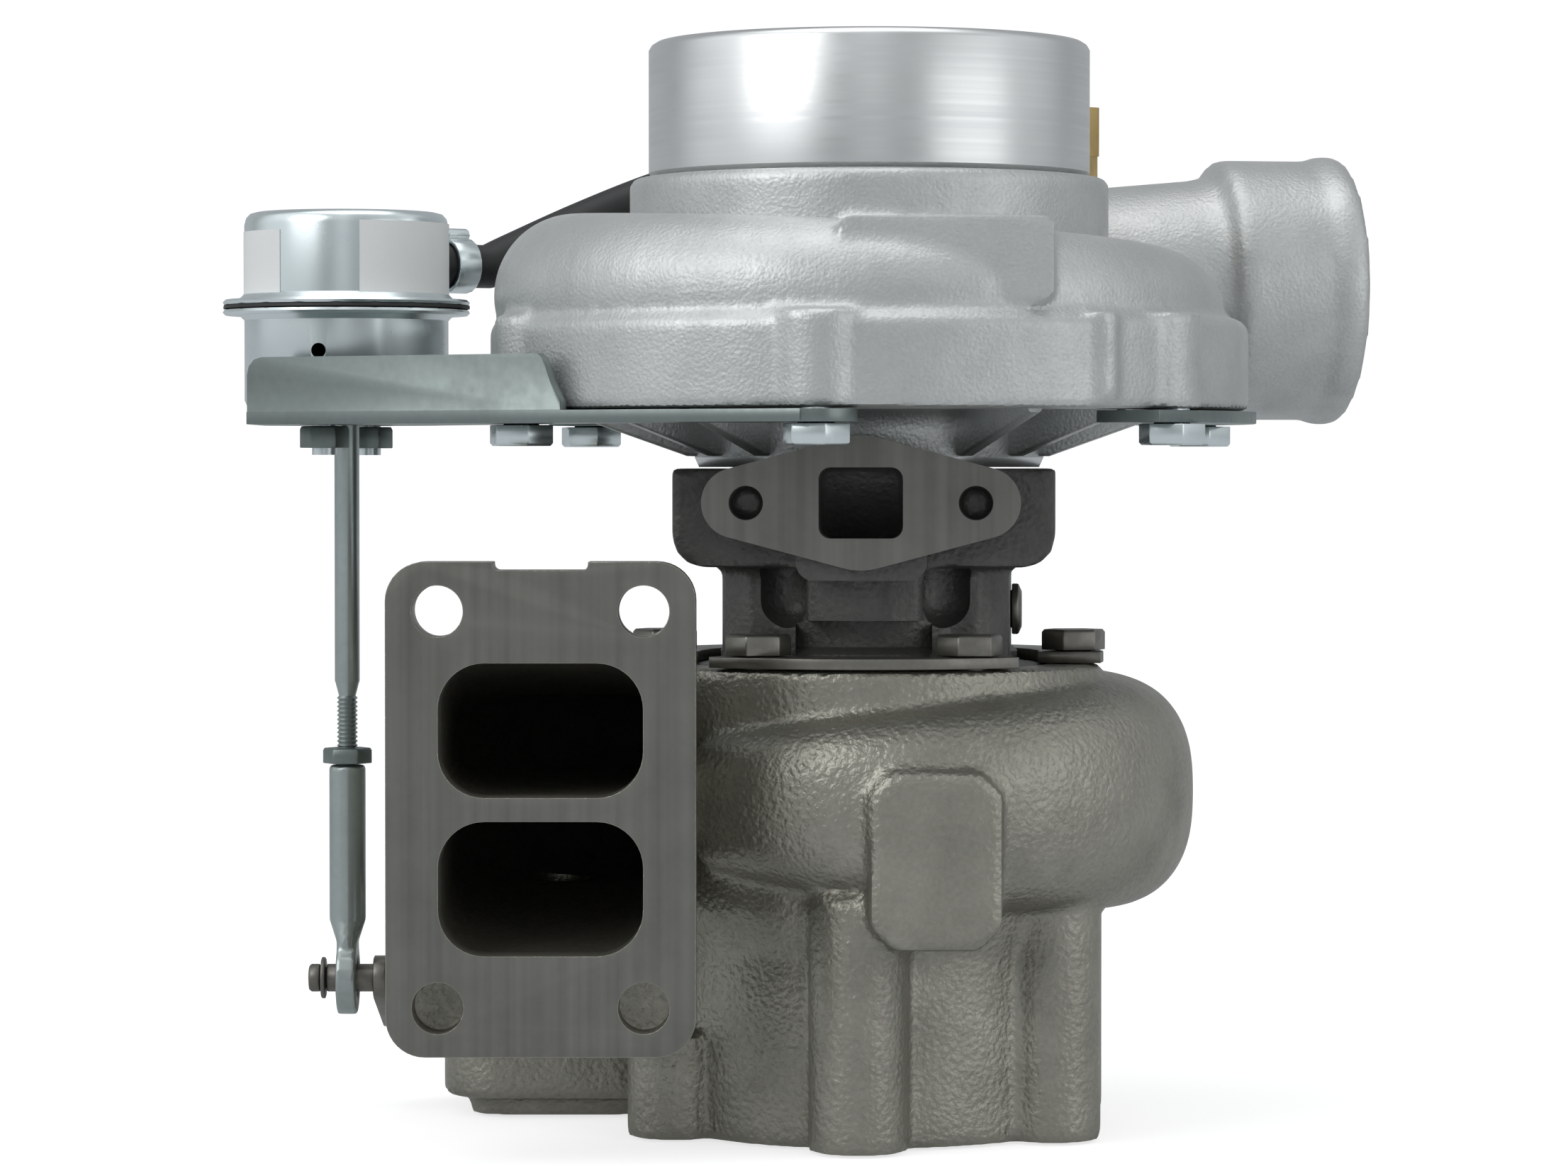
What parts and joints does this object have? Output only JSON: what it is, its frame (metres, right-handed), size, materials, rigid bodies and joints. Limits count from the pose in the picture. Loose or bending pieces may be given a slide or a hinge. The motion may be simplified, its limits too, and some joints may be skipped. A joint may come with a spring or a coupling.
{
  "type": "turbocharger",
  "caption": "Turbocharger with a twin-entry turbine housing, oil-fed centre housing, compressor volute and a boost actuator that works an internal wastegate by a rod and lever.",
  "frame": {"origin": "centre of the turbine inlet flange face, on the bridge between its two ports", "axes": "+Z along the shaft from the turbine to the compressor inlet, -Y out of the turbine inlet flange, +X towards the compressor outlet"},
  "size_m": [0.2713, 0.2126, 0.2478],
  "materials": {
    "cast_aluminium": "cast, turned at the inlet",
    "cast_iron": "rough cast, ground at the flanges",
    "dark_iron": "cast, machined faces",
    "zinc": "zinc plated",
    "dark_steel": "dark, heat resistant",
    "steel": "machined",
    "brass": "machined",
    "bronze": "machined",
    "rubber": "matt"
  },
  "bodies": {
    "housings": {"actuator_bracket": "zinc", "actuator_diaphragm": "rubber", "actuator_lower_can": "zinc", "actuator_nut_1": "zinc", "actuator_nut_2": "zinc", "actuator_spring": "steel", "actuator_upper_can": "zinc", "backplate_o_ring": "rubber", "boost_fitting": "brass", "boost_hose": "rubber", "center_housing": "dark_iron", "center_housing_plug": "dark_steel", "compressor_backplate": "cast_aluminium", "compressor_cover": "cast_aluminium", "compressor_seal_ring": "steel", "cover_bolt_1": "zinc", "cover_bolt_2": "zinc", "cover_bolt_3": "zinc", "cover_bolt_4": "zinc", "cover_bolt_5": "zinc", "cover_bolt_6": "zinc", "cover_clamp_plate_back": "zinc", "cover_clamp_plate_right": "zinc", "heat_shield": "steel", "hose_clip_actuator": "zinc", "hose_clip_fitting": "zinc", "journal_bearing_lower": "bronze", "journal_bearing_upper": "bronze", "thrust_bearing": "bronze", "turbine_bolt_1": "dark_steel", "turbine_bolt_2": "dark_steel", "turbine_bolt_3": "dark_steel", "turbine_bolt_4": "dark_steel", "turbine_bolt_5": "dark_steel", "turbine_bolt_6": "dark_steel", "turbine_clamp_plate_1": "dark_steel", "turbine_clamp_plate_2": "dark_steel", "turbine_clamp_plate_3": "dark_steel", "turbine_housing": "cast_iron", "turbine_seal_ring": "steel", "wastegate_bush": "dark_steel"},
    "rotor": {"shaft_and_turbine_wheel": "dark_steel", "compressor_wheel": "steel", "compressor_wheel_nut": "dark_steel", "thrust_collar": "steel", "oil_slinger": "steel"},
    "rod": {"actuator_rod": "zinc", "actuator_piston": "zinc", "rod_lock_nut": "zinc", "rod_end": "zinc"},
    "wastegate": {"wastegate_shaft": "dark_steel", "wastegate_flap": "dark_steel", "wastegate_lever": "dark_steel", "lever_pin": "dark_steel", "lever_pin_clip": "dark_steel"}
  },
  "joints": [
    {"name": "rotor_spin", "type": "hinge", "parent": "housings", "child": "rotor", "pos_m": [0.072, 0.075, 0], "axis": [0, 0, 1], "continuous": true},
    {"name": "rod_stroke", "type": "slide", "parent": "housings", "child": "rod", "axis": [0, 0, -1], "range_m": [0, 0.0118], "stiffness_N_per_m": 800, "deforming": ["actuator_spring", "actuator_diaphragm"]},
    {"name": "wastegate_swing", "type": "hinge", "parent": "housings", "child": "wastegate", "pos_m": [-0.049, 0.119, -0.0515], "axis": [1, 0, 0], "range_deg": [0, 22.2]}
  ],
  "couplings": [
    {"joint": "wastegate_swing", "follows": "rod_stroke", "rad_per_m": 32.76}
  ]
}
